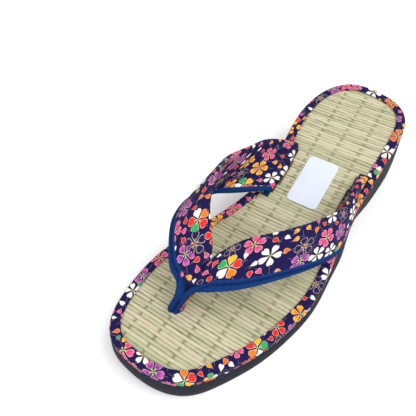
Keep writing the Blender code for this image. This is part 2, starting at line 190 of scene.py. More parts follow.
# Fineness of the visible surfaces
OUTLINE_POINTS = 720
PROFILE_POINTS = 1001
BAND_COLUMNS = 33
ROWS_PER_STATION = 14
SOLE_ROWS = 14
STRAP_COLUMNS = 34
FOLD_POINTS = 7
PIPING_SIDES = 40
PIPING_ROWS = 260
POST_COLUMNS = 12
POST_ROWS = 50
BED_STRIPS = 160
MOTIF_BATCH = 4000
MM = 0.001

# Pitch of the threads, the stitches and the sole's lines: the last in metres, the others in mm
COTTON_THREAD = 0.42
PIPING_THREAD = 0.5
LABEL_THREAD = 0.55
STITCH_PITCH = 1.9
SOLE_LINE_PITCH = 0.00085

# Colours of the materials, linear; a pair holds the two that a mask mixes
NAVY = ((0.006, 0.004, 0.045), (0.011, 0.007, 0.078))
PETAL_LINE = (0.62, 0.47, 0.30)
STAMENS = (0.75, 0.62, 0.35)
HEARTS = ((0.16, 0.42, 0.09), (0.72, 0.02, 0.02))
PIPING_BLUE = ((0.0015, 0.021, 0.115), (0.003, 0.044, 0.20))
GROOVE_BLUE = (0.0005, 0.004, 0.03)
FOAM = ((0.0034, 0.0064, 0.0118), (0.0068, 0.0108, 0.0192))
FOAM_LINE = (0.023, 0.031, 0.044)
FOAM_SPECK = (0.05, 0.062, 0.078)
RUSH_SHADES = (
    (0.0, (0.35, 0.355, 0.22)),
    (0.35, (0.44, 0.425, 0.272)),
    (0.75, (0.52, 0.485, 0.33)),
    (1.0, (0.49, 0.42, 0.30)),
)
RUSH_GREEN = (0.42, 0.42, 0.22)
RUSH_PALE = (0.60, 0.55, 0.385)
RUSH_GROOVE_SHADE = (0.14, 0.11, 0.05)
RUSH_TIE_SHADE = (0.12, 0.095, 0.04)
BED_SHADE = ((0.14, 0.115, 0.055), (0.012, 0.009, 0.006))
LABEL_CLOTH = ((0.56, 0.61, 0.73), (0.63, 0.67, 0.77))
LABEL_WEFT = (0.50, 0.55, 0.66)
FLOOR_GREY = (0.86, 0.86, 0.86)

# Where the photograph was taken from, and its lens
SHOE_CAMERA = (0.2739 - HEEL_SEAT, 0.0906, 0.2504)
SHOE_TARGET = (0.1341 - HEEL_SEAT, -0.0416, 0.0)
CAMERA_LENS = 39.13
CAMERA_SENSOR = 36
PHOTO_SIDE = 416

# The room: half the floor's side, the sky's strength, and each lamp's name, place, size and power
FLOOR_REACH = 6
SKY_STRENGTH = 0.85
LAMPS = (("key", (-0.35, 0.75, 1.6), 1.3, 22.0), ("fill", (0.75, 0.15, 0.55), 0.7, 3.0))
LAMP_TARGET = (0.09, 0, 0.02)


def spline(xs, ys):
    """Natural cubic curve through the points, as a function of x."""
    xs, ys = np.asarray(xs, float), np.asarray(ys, float)
    n = len(xs)
    h = np.diff(xs)
    slope = np.diff(ys, axis=0) / h.reshape(-1, *[1] * (ys.ndim - 1))
    matrix = np.eye(n)
    right = np.zeros_like(ys)
    for i in range(1, n - 1):
        matrix[i, i - 1 : i + 2] = h[i - 1], 2 * (h[i - 1] + h[i]), h[i]
        right[i] = 6 * (slope[i] - slope[i - 1])
    bend = np.linalg.solve(matrix, right.reshape(n, -1)).reshape(right.shape)

    def at(x):
        i = int(np.clip(np.searchsorted(xs, x) - 1, 0, n - 2))
        a, b = xs[i + 1] - x, x - xs[i]
        curve = (bend[i] * a**3 + bend[i + 1] * b**3) / (6 * h[i])
        start = (ys[i] / h[i] - bend[i] * h[i] / 6) * a
        end = (ys[i + 1] / h[i] - bend[i + 1] * h[i] / 6) * b
        return curve + start + end

    return at


def unit(v):
    return v / np.linalg.norm(v, axis=-1, keepdims=True)


def running_length(points):
    """The length of a line of points up to each of them."""
    return np.concatenate([[0], np.cumsum(np.linalg.norm(np.diff(points, axis=0), axis=1))])


def hump(away, spread):
    """A smooth hump one high, by the distance from its middle."""
    return np.exp(-((away / spread) ** 2))


STATIONS, *SHARES = zip(*OUTLINE)
outer_width, inner_width = (spline(STATIONS, shares) for shares in SHARES)
profile = spline(*zip(*PROFILE))
profile_stations = np.linspace(0, 1, PROFILE_POINTS)
fine_profile = np.array([profile(s) for s in profile_stations])


def station_x(station):
    return station * LENGTH - HEEL_SEAT


def station_at(x):
    return (np.asarray(x, float) + HEEL_SEAT) / LENGTH


def rush_height(x):
    return HEEL_HEIGHT * np.interp(np.clip(station_at(x), 0, 1), profile_stations, fine_profile)


def end_rounding(station):
    along = 2 * station - 1
    power, root = TOE_ROUNDNESS if along > 0 else HEEL_ROUNDNESS
    return max(0.0, 1 - abs(along) ** power) ** (1 / root)


def outline():
    """The footbed's edge from above, anticlockwise from the toe, its sides in pairs at the same stations."""
    stations = 0.5 + 0.5 * np.cos(np.linspace(0, np.pi, 2 * PROFILE_POINTS - 1))

    def sides(at):
        xs = [station_x(s) for s in at]
        rounding = [end_rounding(s) for s in at]
        outer = [outer_width(s) * r * BALL_WIDTH for s, r in zip(at, rounding)]
        inner = [-inner_width(s) * r * BALL_WIDTH for s, r in zip(at, rounding)]
        return np.column_stack([xs, outer]), np.column_stack([xs, inner])

    run = np.mean([running_length(side) for side in sides(stations)], 0)
    half = OUTLINE_POINTS // 2
    outer, inner = sides(np.interp((np.arange(half) + 0.5) / half * run[-1], run, stations))
    return np.concatenate([outer, inner[::-1]])


def inwards(points, distance):
    along = unit(np.roll(points, -1, 0) - np.roll(points, 1, 0))
    normal = np.stack([-along[:, 1], along[:, 0]], 1)
    return points + normal * np.broadcast_to(distance, len(points))[:, None]


EDGE = outline()
EDGE_RUN = running_length([*EDGE, EDGE[0]])


def sole_foot():
    stations = station_at(EDGE[:, 0])
    waist = hump(stations - WAIST_STATION, WAIST_SPREAD) * (EDGE[:, 1] < 0)
    heel = hump(stations, HEEL_FLARE_SPREAD)
    sway = (stations - SWAY_STATION) / SWAY_SPREAD
    sway = sway * hump(sway, 1) * (EDGE[:, 1] > 0)
    return inwards(EDGE, -(SIDE_FLARE + WAIST_FLARE * waist + HEEL_FLARE * heel + OUTER_SWAY * sway))


def floor_height(x):
    station = station_at(x)
    start, end = ARCH_SPAN
    hollow = np.clip((station - start) / (end - start), 0, 1)
    rise = np.maximum(0.0, station - TOE_SPRING_START) / (1 - TOE_SPRING_START)
    return ARCH_RISE * np.sin(np.pi * hollow) ** 2 + TOE_SPRING * rise**2


def lift(ring, heights):
    return np.column_stack([ring, np.broadcast_to(heights, len(ring))])


def slot_line(outer):
    ring = inwards(EDGE, BINDING_WIDTH + SLOT_INSET)
    half = len(ring) // 2
    side = ring[:half][::-1] if outer else ring[half:]
    return lambda x: np.interp(x, side[:, 0], side[:, 1])


def slot_ends(outer):
    return [station_x(s) for s in (OUTER_SLOT if outer else INNER_SLOT)]


def strap_point(row, first=0):
    """A place on the strap or post from three shares of a table's row."""
    x = station_x(row[first])
    return np.array([x, row[first + 1] * BALL_WIDTH, float(rush_height(x)) + row[first + 2] * INSTEP])


def band_grid(outer):
    """One wing's middle surface: rows from the V to the bottom of the slot, columns from front to rear."""
    stations = [V_MIDDLE, *(OUTER_WING if outer else INNER_WING)]
    front = [strap_point(row) for row in stations]
    rear = [strap_point(row, 3) for row in stations]
    line = slot_line(outer)
    start, end = slot_ends(outer)
    shares = np.linspace(0, 1, BAND_COLUMNS)
    rows = []
    for i, (f, r) in enumerate(zip(front, rear)):
        before, after = front[max(i - 1, 0)], front[min(i + 1, len(front) - 1)]
        out = np.cross(after - before, r - f) * (1 if outer else -1)
        out = np.array([0, 0, 1.0]) if i == 0 else unit(out)
        crown = STRAP_CROWN * stations[i][6]
        rows.append([f + (r - f) * v + out * crown * 4 * v * (1 - v) for v in shares])
    xs = start + (end - start) * shares
    last = len(rows) - 1
    knots = [*range(last + 1), *(last + k for k in SLOT_KNOTS)]
    for h in (SLOT_RISE, 0, GAP - SLOT_DEPTH):
        rows.append([np.array([x, line(x), rush_height(x) + h]) for x in xs])
    curve = spline(knots, np.array(rows))
    steps = [*np.arange(0, last, 1 / ROWS_PER_STATION), *np.linspace(last, last + 1, 2 * ROWS_PER_STATION)]
    return np.array([curve(s) for s in steps])


def band_normals(grid):
    return unit(np.cross(np.gradient(grid, axis=1), np.gradient(grid, axis=0)))


def along_row(row, normals, places):
    """Points and facings of a band row at places behind its front edge, or ahead of it when negative."""
    lengths = running_length(row)
    cut, facing = (np.stack([np.interp(places, lengths, v) for v in grid.T], 1) for grid in (row, normals))
    return cut + np.minimum(places, 0)[:, None] * unit(row[1] - row[0]), unit(facing)


def add_object(name, data):
    made = bpy.data.objects.new(name, data)
    scene.collection.objects.link(made)
    return made


def corner_values(data, name, values):
    data.attributes.new(name, "FLOAT", "CORNER").data.foreach_set("value", values)


def flat_grid(along, across):
    return np.stack(np.broadcast_arrays(along, across), -1)


def make_grid(name, points, flat, wrap_rows=False, strips=False):
    """A mesh through a grid of points whose columns close on themselves, with flat places in mm as UVs."""
    rows, columns = points.shape[:2]
    index = np.arange(rows * columns).reshape(rows, columns)
    near = index if wrap_rows else index[:-1]
    far = np.roll(index, -1, 0) if wrap_rows else index[1:]
    quads = np.stack([near, np.roll(near, -1, 1), np.roll(far, -1, 1), far], -1).reshape(-1, 4)
    low, high = flat[:-1], flat[1:]
    corner_uv = np.stack([low[:, :-1], low[:, 1:], high[:, 1:], high[:, :-1]], 2).reshape(-1, 2)
    faces = quads.tolist()
    if not wrap_rows:
        pairs = [[i, i + 1, columns - 2 - i, columns - 1 - i] for i in range(columns // 2 - 1)]
        ends = pairs if strips else [list(range(columns))]
        for row, order in ((0, -1), (-1, 1)):
            for end in ends:
                faces.append(index[row][end[::order]].tolist())
                corner_uv = np.concatenate([corner_uv, flat[row][end[::order]]])
    data = bpy.data.meshes.new(name)
    data.from_pydata(points.reshape(-1, 3).tolist(), [], faces)
    data.uv_layers.new(name="mm").data.foreach_set("uv", corner_uv.ravel())
    data.shade_smooth()
    return outward(add_object(name, data))


def read(items, key, width=1):
    values = np.zeros(len(items) * width)
    items.foreach_get(key, values)
    return values.reshape(-1, width)


def outward(made):
    """Turns the faces outwards when their closed volume comes out negative."""
    data = made.data
    co = read(data.vertices, "co", 3)
    total = 0.0
    for p in data.polygons:
        v = co[list(p.vertices)]
        total += np.dot(v[0], np.cross(v[1], v[2]))
        if len(v) == 4:
            total += np.dot(v[0], np.cross(v[2], v[3]))
    if total < 0:
        data.flip_normals()
    return made


# Colours of the print, as sRGB
INKS = {
    "white": ((245, 243, 238), (232, 236, 240)),
    "pink": ((238, 100, 160), (224, 24, 98)),
    "red": ((235, 50, 45), (214, 20, 30)),
    "amber": ((250, 186, 36), (238, 104, 18)),
    "orange": ((248, 120, 40), (240, 85, 25)),
    "purple": ((214, 88, 175), (82, 24, 136)),
    "green": ((40, 165, 90), (25, 135, 70)),
    "line": ((30, 24, 80), (30, 24, 80)),
}
INKS["mixed"] = INKS["medley"] = INKS["white"]
# The inks of flowers whose petals differ, in turn
PETAL_RINGS = (("amber", "red", "orange", "white", "green"), ("white", "orange", "red", "green", "red"))
STYLES = {"mixed": 1.0, "medley": 2.0, "line": 3.0}
# Half a petal's width as a share of its length
USUAL_PETAL = 0.32
PETAL_WIDTHS = {"white": 0.28, "mixed": 0.37, "medley": 0.37, "line": 0.33}
BLOOM_CHOICES = {"pink": 5, "white": 4, "mixed": 3, "red": 2, "amber": 3, "orange": 1, "purple": 3, "line": 3}
PETAL_CHOICES = {"white": 4, "amber": 4, "red": 6, "pink": 5, "green": 1, "purple": 2, "line": 1}
BLOOM_SPACING = 0.84
PETAL_SPACING = 0.5

# Flowers and loose petals of each kind by their pixels in the photograph: across, down, then size in mm and
# turn in degrees
SEEN_BLOOMS = {
    "medley": ((198.5, 219, 6.8, 144),),
    "line": ((196, 243, 6.6, 20), (306, 247, 6.4, 0), (221, 182, 6, 0)),
    "mixed": ((229, 266, 7, 234), (244, 184, 6.4, 100)),
    "pink": (
        (255, 244, 6.2, 10), (328, 238, 6.6, 50), (270, 155, 5.6, 30), (236, 157, 5.6, 45),
        (290, 143, 5.6, 0),
    ),
    "white": ((271, 255, 6.4, 40), (333.5, 215, 6, 15), (318, 255, 6, 65), (273, 178, 5.6, 0)),
    "purple": ((301, 260, 6, 25), (342, 232, 6, 0), (184.6, 207, 5.6, 30), (184.6, 255, 5.8, 60)),
    "amber": ((366, 184, 5.6, 30), (259, 167, 6.4, 0)),
}
SEEN_PETALS = {
    "red": (
        (197, 259, 4.8, 100), (209, 279, 4.6, 60), (276, 240, 4.6, 30), (249.5, 274, 4.6, 80),
        (283, 155, 4.4, 20), (181.5, 240.5, 4.6, 150), (358, 186, 4.8, 60), (237, 168, 4.4, 70),
        (229, 182, 4.4, 30),
    ),
    "pink": (
        (198, 269, 4.8, 200), (320, 221.5, 4.6, 80), (206.4, 254, 4.6, 180), (207.5, 263, 4.4, 60),
        (206.4, 272.7, 4.6, 20), (182, 231, 4.6, 120), (260.5, 271.7, 4.6, 40), (361, 179, 5, 60),
        (353, 193, 4.8, 60), (233, 175, 4.6, 40), (260, 180, 4.6, 0),
    ),
    "orange": ((208, 195, 5, 120), (200, 197, 4.6, 60), (288, 249, 4.8, 0), (318, 229.5, 5, 90)),
    "white": (
        (245.5, 255, 4.8, 90), (253, 264, 4.6, 150), (287.5, 236.3, 4.8, 30), (359, 205, 4.4, 20),
        (194.5, 281, 4, 60), (244, 163, 4.8, 100), (250, 156, 4.8, 110), (260, 150, 4.6, 100),
        (226, 174, 4.4, 80),
    ),
    "amber": (
        (310, 227, 4.8, 45), (297, 230.5, 4.6, 130), (278, 271, 4.6, 10), (271, 143, 4.6, 60),
        (280.2, 165.6, 4.6, 80), (349, 203, 4.4, 30), (188, 277.5, 4.4, 150),
    ),
    "line": ((278, 148, 4.8, 90), (199, 283.5, 4.4, 60)),
    "green": ((222, 167, 4.6, 90),),
}
# The same on the edge binding
SEEN_EDGE_BLOOMS = {
    "pink": ((123, 349, 6.6, 20), (354, 89, 6, 0), (160, 257, 6.4, 30), (233, 207, 6, 15)),
    "purple": ((154, 371, 6.6, 0), (143, 275, 6, 60)),
    "mixed": ((185, 380, 6.6, 90), (257, 347, 6.6, 200)),
    "red": ((277, 326, 5.6, 0),),
    "amber": ((301, 315, 5.6, 40), (218, 220, 5.4, 0)),
    "line": ((316, 283, 6, 0), (321, 97, 6, 20)),
    "white": ((387, 151, 6, 30), (373, 91, 6.2, 45), (132, 290, 5.4, 0)),
    "orange": ((397, 135, 6.4, 10), (391, 102, 6, 0)),
}
SEEN_EDGE_PETALS = {
    "white": (
        (222, 367, 5, 60), (233, 364, 4.8, 120), (314.5, 297, 4.8, 100), (310, 107, 4.8, 80),
        (121, 301, 5, 70), (370, 174, 4.8, 60),
    ),
    "orange": ((225, 361, 4.6, 40), (305, 118, 4.6, 150), (116, 330, 5, 90)),
    "red": ((385, 160, 4.8, 30), (292, 137, 4.8, 20), (368, 192, 4.6, 60)),
    "green": ((141, 283, 4.6, 10),),
    "amber": ((373, 182, 5, 60),),
}


def linear(colour):
    c = np.array(colour) / 255
    return np.where(c <= 0.04045, c / 12.92, ((c + 0.055) / 1.055) ** 2.4)


def pick(rng, choices):
    weights = np.array(list(choices.values()))
    return list(choices)[int(rng.choice(len(choices), p=weights / sum(weights)))]


def scatter(rng, area, placed, sizes, choices, spacing, tries, avoid=()):
    """Motifs dropped at random in a flat area, each kept clear of those already there."""
    (u0, u1), (v0, v1) = area
    for _ in range(tries):
        u, v, size = rng.uniform(u0, u1), rng.uniform(v0, v1), rng.uniform(*sizes)
        if all(np.hypot(u - p[0], v - p[1]) > (size + p[2]) * spacing for p in placed):
            if all(np.hypot(u - p[0], v - p[1]) > p[2] * 0.95 + size * 0.55 for p in avoid):
                placed.append((u, v, size, rng.uniform(0, 2 * np.pi), pick(rng, choices)))
    return placed


def print_motifs(made, layer, motifs, centre, seam=None):
    """Gives each face the flat coordinates of its nearest motif, in motif sizes, and that motif's inks.

    With a seam, faces on one side of that u take no motif from the other side.
    """
    data = made.data
    uv = read(data.uv_layers["mm"].data, "uv", 2)
    totals = np.array([len(p.vertices) for p in data.polygons])
    owner = np.repeat(np.arange(len(totals)), totals)
    middle = np.stack([np.bincount(owner, uv[:, k]) / totals for k in range(2)], 1)
    numbers, kinds = np.array([m[:4] for m in motifs]), [m[4] for m in motifs]
    place, size, turn = numbers[:, :2], numbers[:, 2], numbers[:, 3]
    tip, base = (np.array([linear(INKS[kind][k]) for kind in kinds]) for k in (0, 1))
    style = np.array([STYLES.get(kind, 0.0) for kind in kinds])
    wide = np.array([PETAL_WIDTHS.get(kind, USUAL_PETAL) for kind in kinds])
    nearest = []
    for part in np.array_split(middle, len(middle) // MOTIF_BATCH + 1):
        away = np.linalg.norm(part[:, None] - place[None], axis=2) / size
        if seam is not None:
            away += 100 * ((part[:, :1] > seam) != (place[None, :, 0] > seam))
        nearest.append(away.argmin(1))
    mine = np.concatenate(nearest)[owner]
    local = (uv - place[mine]) / size[mine][:, None]
    c, s = np.cos(turn[mine]), np.sin(turn[mine])
    local = np.stack([local[:, 0] * c + local[:, 1] * s, local[:, 1] * c - local[:, 0] * s], 1) + centre
    data.uv_layers.new(name=layer).data.foreach_set("uv", local.ravel())
    for suffix, values in (("_tip", tip), ("_base", base)):
        painted = data.color_attributes.new(layer + suffix, "FLOAT_COLOR", "CORNER")
        painted.data.foreach_set("color", np.column_stack([values[mine], np.ones(len(uv))]).ravel())
    for suffix, values in (("_style", style), ("_wide", wide)):
        corner_values(data, layer + suffix, values[mine])


def scatter_seen(made, seed, area, seen, sizes, tries):
    """Seen blooms and petals, and random ones of the given sizes in between."""
    rng = np.random.default_rng(seed)
    blooms, petals = (seen_motifs(made, motifs) for motifs in seen)
    blooms = scatter(rng, area, blooms, sizes[0], BLOOM_CHOICES, BLOOM_SPACING, tries[0], petals)
    return blooms, scatter(rng, area, petals, sizes[1], PETAL_CHOICES, PETAL_SPACING, tries[1], blooms)


def print_sakura(made, blooms, petals, seam=None):
    print_motifs(made, "bloom", blooms, (0, 0), seam)
    print_motifs(made, "loose", petals, (0.5, 0), seam)
    return made


def photo_pixels(points):
    """Where points land in the photograph, in its pixels, and how far ahead of the camera they lie."""
    ahead = unit(np.array(SHOE_TARGET) - SHOE_CAMERA)
    right = unit(np.cross(ahead, (0, 0, 1)))
    away = points - SHOE_CAMERA
    depth = away @ ahead
    scale = PHOTO_SIDE * CAMERA_LENS / CAMERA_SENSOR / depth
    across, down = away @ right * scale, away @ np.cross(ahead, right) * scale
    return np.column_stack([across, down]) + PHOTO_SIDE / 2, depth


def seen_motifs(made, seen):
    """Motifs from the pixels at which the photograph shows them, laid on the cloth seen there."""
    faces = [p for p in made.data.polygons if len(p.vertices) == 4]
    centres = np.array([p.center for p in faces])
    pixels, depth = photo_pixels(centres)
    facing = np.einsum("ij,ij->i", np.array([p.normal for p in faces]), centres - SHOE_CAMERA) < 0
    uv = made.data.uv_layers["mm"].data
    motifs = []
    for kind, x, y, size, turn in ((kind, *place) for kind, places in seen.items() for place in places):
        miss = np.linalg.norm(pixels - (x, y), axis=1)
        close = facing & (miss < max(1.5, miss[facing].min() * 1.2))
        face = faces[int(np.where(close, depth, np.inf).argmin())]
        middle = np.mean([uv[k].uv for k in face.loop_indices], 0)
        motifs.append((middle[0], middle[1], size, np.radians(turn), kind))
    return motifs


class Nodes:
    """Short calls for building a material's node tree."""

    def __init__(self, name):
        self.material = bpy.data.materials.new(name)
        self.material.use_nodes = True
        self.tree = self.material.node_tree
        self.shader = self.tree.nodes["Principled BSDF"]

    def put(self, socket, value):
        if isinstance(value, bpy.types.NodeSocket):
            self.tree.links.new(value, socket)
        else:
            socket.default_value = value

    def add(self, kind, **settings):
        made = self.tree.nodes.new("ShaderNode" + kind)
        for key, value in settings.items():
            setattr(made, key, value)
        return made

    def math(self, operation, a, b=0.0, c=0.0, clamp=False):
        made = self.add("Math", operation=operation, use_clamp=clamp)
        for socket, value in zip(made.inputs, (a, b, c)):
            self.put(socket, value)
        return made.outputs[0]

    def times(self, a, b):
        return self.math("MULTIPLY", a, b)

    def put_colour(self, socket, colour):
        self.put(socket, colour if isinstance(colour, bpy.types.NodeSocket) else (*colour, 1))

    def mix(self, share, a, b):
        made = self.add("Mix", data_type="RGBA")
        self.put(made.inputs[0], share)
        self.put_colour(made.inputs[6], a)
        self.put_colour(made.inputs[7], b)
        return made.outputs[2]

    def noise(self, vector, scale, detail=2.0, roughness=0.5):
        made = self.add("TexNoise")
        self.put(made.inputs["Vector"], vector)
        for key, value in (("Scale", scale), ("Detail", detail), ("Roughness", roughness)):
            made.inputs[key].default_value = value
        return made.outputs["Fac"]

    def spread(self, value, low, high, to_low=0.0, to_high=1.0):
        made = self.add("MapRange", interpolation_type="SMOOTHSTEP")
        for socket, v in zip(made.inputs, (value, low, high, to_low, to_high)):
            self.put(socket, v)
        return made.outputs[0]

    def ramp(self, value, stops, kind="LINEAR"):
        made = self.add("ValToRGB")
        elements = made.color_ramp.elements
        made.color_ramp.interpolation = kind
        elements.remove(elements[1])
        for i, (position, colour) in enumerate(stops):
            stop = elements.new(position) if i else elements[0]
            stop.position = position
            stop.color = (*colour, 1)
        self.put(made.inputs[0], value)
        return made.outputs[0]

    def split(self, vector):
        made = self.add("SeparateXYZ")
        self.put(made.inputs[0], vector)
        return vector, *made.outputs

    def flat(self, layer="mm"):
        return self.split(self.add("UVMap", uv_map=layer).outputs[0])[:3]

    def stretched(self, vector, scale):
        made = self.add("Mapping")
        self.put(made.inputs["Vector"], vector)
        made.inputs["Scale"].default_value = scale
        return made.outputs[0]

    def place(self):
        return self.split(self.add("TexCoord").outputs["Object"])

    def attribute(self, name, output="Color"):
        return self.add("Attribute", attribute_name=name).outputs[output]

    def bumps(self, *layers):
        """The normal after layers of relief, each a height, its distance and its strength."""
        normal = None
        for layer in layers:
            made = self.add("Bump")
            for key, value in zip(("Height", "Distance", "Strength"), layer):
                self.put(made.inputs[key], value)
            if normal:
                self.put(made.inputs["Normal"], normal)
            normal = made.outputs[0]
        return normal

    def finish(self, colour, roughness, normal=None, **others):
        self.put_colour(self.shader.inputs["Base Color"], colour)
        self.put(self.shader.inputs["Roughness"], roughness)
        if normal:
            self.put(self.shader.inputs["Normal"], normal)
        for key, value in others.items():
            self.put(self.shader.inputs[key.replace("_", " ")], value)
        return self.material


def weave(n, u, v, pitch):
    """Height of a plain weave: threads over and under each other."""
    k = 2 * np.pi / pitch
    across = n.math("SINE", n.times(u, k))
    down = n.math("SINE", n.times(v, k))
    return n.math("MULTIPLY_ADD", n.times(across, down), 0.5, 0.5)


def petal_depth(n, along, side, wide):
    """How far a point lies inside a notched petal with its base at 0 and tip at 1, and its share along it."""
    aside = n.math("ABSOLUTE", side)
    share = n.math("MULTIPLY_ADD", along, 1.06, -0.06)
    notch = n.math("SUBTRACT", 1.0, n.math("DIVIDE", aside, 0.12), clamp=True)
    far = n.spread(share, 0.5, 0.9)
    bent = n.math("MULTIPLY_ADD", n.times(notch, far), 0.2, share)
    safe = n.math("MINIMUM", n.math("MAXIMUM", bent, 0.0), 1.0)
    swell = n.math("SINE", n.times(n.math("POWER", safe, 1.7), np.pi))
    width = n.times(n.math("POWER", n.math("MAXIMUM", swell, 0.0), 0.8), wide)
    return n.math("SUBTRACT", width, aside), share


def paint(n, ground, layer, depth, share, petal=None):
    """Lays one layer of motifs over the ground: filled petals with a thin pale outline."""
    tip, base = n.attribute(layer + "_tip"), n.attribute(layer + "_base")
    style = n.attribute(layer + "_style", "Fac")
    fill = n.mix(n.spread(share, 0.15, 0.95), base, tip)
    if petal:
        for number, ring in enumerate(PETAL_RINGS, 1):
            stops = [(i / len(ring), linear(INKS[name][0])) for i, name in enumerate(ring)]
            fill = n.mix(n.math("COMPARE", style, number, 0.1), fill, n.ramp(petal, stops, "CONSTANT"))
    inside = n.spread(depth, 0.028, 0.045)
    edge = n.spread(depth, -0.015, 0.005)
    return n.mix(inside, n.mix(edge, ground, PETAL_LINE), fill)


def shade_thread_gaps(n, colour, threads, share):
    """The colour with painted shade in the gaps between its threads."""
    return n.mix(n.times(n.math("SUBTRACT", 1.0, threads), share), colour, (0, 0, 0))


def print_cloth():
    n = Nodes("sakura_cotton")
    flat, u, v = n.flat()
    ground = n.mix(n.noise(flat, 0.35, 3), *NAVY)
    _, x, y = n.flat("loose")
    depth, share = petal_depth(n, x, y, n.attribute("loose_wide", "Fac"))
    colour = paint(n, ground, "loose", depth, share)
    _, x, y = n.flat("bloom")
    radius = n.math("SQRT", n.math("ADD", n.times(x, x), n.times(y, y)))
    turn = n.math("ADD", n.math("DIVIDE", n.math("ARCTAN2", y, x), 2 * np.pi), 0.5)
    fifths = n.times(turn, 5.0)
    sector = n.math("FLOOR", fifths)
    angle = n.times(n.math("SUBTRACT", n.math("FRACT", fifths), 0.5), 2 * np.pi / 5)
    along = n.times(radius, n.math("COSINE", angle))
    side = n.times(radius, n.math("SINE", angle))
    depth, share = petal_depth(n, along, side, n.attribute("bloom_wide", "Fac"))
    petal = n.math("MULTIPLY_ADD", sector, 0.2, 0.1)
    colour = paint(n, colour, "bloom", depth, share, petal)
    thin = n.spread(n.math("ABSOLUTE", side), 0.012, 0.028, 1.0, 0.0)
    reach = n.times(n.spread(along, 0.06, 0.1), n.spread(along, 0.34, 0.38, 1.0, 0.0))
    stamen = n.times(n.times(thin, reach), n.spread(depth, 0.0, 0.03))
    colour = n.mix(stamen, colour, STAMENS)
    outline_only = n.math("COMPARE", n.attribute("bloom_style", "Fac"), STYLES["line"], 0.1)
    colour = n.mix(n.spread(radius, 0.07, 0.1, 1.0, 0.0), colour, n.mix(outline_only, *HEARTS))
    threads = weave(n, u, v, COTTON_THREAD)
    crinkle = n.noise(flat, 0.22, 4, 0.6)
    normal = n.bumps((threads, 0.00006, 0.6), (crinkle, 0.0006, 0.5))
    rough = n.spread(threads, 0.0, 1.0, 0.86, 0.72)
    # Painted shade in the gaps of the weave
    colour = shade_thread_gaps(n, colour, threads, 0.25)
    return n.finish(colour, rough, normal, Sheen_Weight=0.02, Specular_IOR_Level=0.12)


def piping_cloth():
    n = Nodes("blue_cotton")
    flat, u, v = n.flat()
    threads = weave(n, n.math("ADD", u, v), n.math("SUBTRACT", u, v), PIPING_THREAD)
    # Painted shade in the gaps of the weave
    colour = shade_thread_gaps(n, n.mix(n.noise(flat, 0.4, 3), *PIPING_BLUE), threads, 0.3)
    stitch = n.math("SINE", n.times(u, 2 * np.pi / STITCH_PITCH))
    seam = n.spread(n.math("ABSOLUTE", n.math("SUBTRACT", v, FLANGE_WIDTH / MM * 0.5)), 0.15, 0.5, 1.0, 0.0)
    pucker = n.times(seam, n.spread(stitch, -0.6, 0.6))
    colour = n.mix(n.times(seam, 0.55), colour, GROOVE_BLUE)
    creases = n.noise(flat, 0.5, 3)
    normal = n.bumps((threads, 0.00007, 0.7), (pucker, 0.0004, 0.7), (creases, 0.0004, 0.5))
    return n.finish(colour, 0.8, normal, Specular_IOR_Level=0.12)


def foam_rubber():
    n = Nodes("foam_rubber")
    place, _, _, z = n.place()
    grain = n.noise(place, 1600, 4, 0.6)
    lines = n.math("SINE", n.times(z, 2 * np.pi / SOLE_LINE_PITCH))
    colour = n.mix(n.noise(place, 60, 3), *FOAM)
    colour = n.mix(n.times(n.spread(lines, 0.3, 1.0), 0.25), colour, FOAM_LINE)
    colour = n.mix(n.spread(grain, 0.62, 0.75, 0.0, 0.3), colour, FOAM_SPECK)
    normal = n.bumps((lines, 0.00009, 0.6), (grain, 0.00015, 0.5))
    return n.finish(colour, n.spread(grain, 0.3, 0.7, 0.62, 0.82), normal, Specular_IOR_Level=0.14)


def rush():
    n = Nodes("rush_strands")
    flat, _, _ = n.flat()
    long_fibres = n.stretched(flat, (0.09, 3.4, 1))
    streak = n.noise(long_fibres, 1.0, 4, 0.65)
    colour = n.ramp(n.attribute("tone", "Fac"), RUSH_SHADES)
    colour = n.mix(n.spread(streak, 0.45, 0.75, 0.0, 0.55), colour, RUSH_GREEN)
    colour = n.mix(n.spread(streak, 0.42, 0.25, 0.0, 0.5), colour, RUSH_PALE)
    broken = n.noise(n.stretched(flat, (0.16, 0.7, 1)), 1.0, 3, 0.6)
    # Painted shade down each strand's sides, in the grooves between the strands, broken up by noise
    groove_shade = n.times(n.attribute("groove_shade", "Fac"), n.spread(broken, 0.4, 0.62, 0.12, 1.0))
    colour = n.mix(n.times(groove_shade, 0.9), colour, RUSH_GROOVE_SHADE)
    # Painted shade in the dips where the warp threads press the strands down
    colour = n.mix(n.times(n.attribute("tie_shade", "Fac"), 0.75), colour, RUSH_TIE_SHADE)
    normal = n.bumps((n.noise(long_fibres, 6.0, 2, 0.6), 0.00012, 0.5))
    return n.finish(colour, n.spread(streak, 0.3, 0.7, 0.42, 0.6), normal, Specular_IOR_Level=0.4)


def label_cloth():
    n = Nodes("label_cloth")
    flat, u, v = n.flat()
    threads = weave(n, u, v, LABEL_THREAD)
    colour = n.mix(n.noise(flat, 0.3, 3), *LABEL_CLOTH)
    colour = n.mix(n.times(threads, 0.22), colour, LABEL_WEFT)
    normal = n.bumps((threads, 0.00005, 0.6), (n.noise(flat, 0.12, 2), 0.0008, 0.35))
    return n.finish(colour, 0.6, normal, Specular_IOR_Level=0.25)


def dress(made, material, slot, *nodes):
    made.data.materials.append(material)
    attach(made, "root")
    if nodes:
        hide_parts(*nodes)


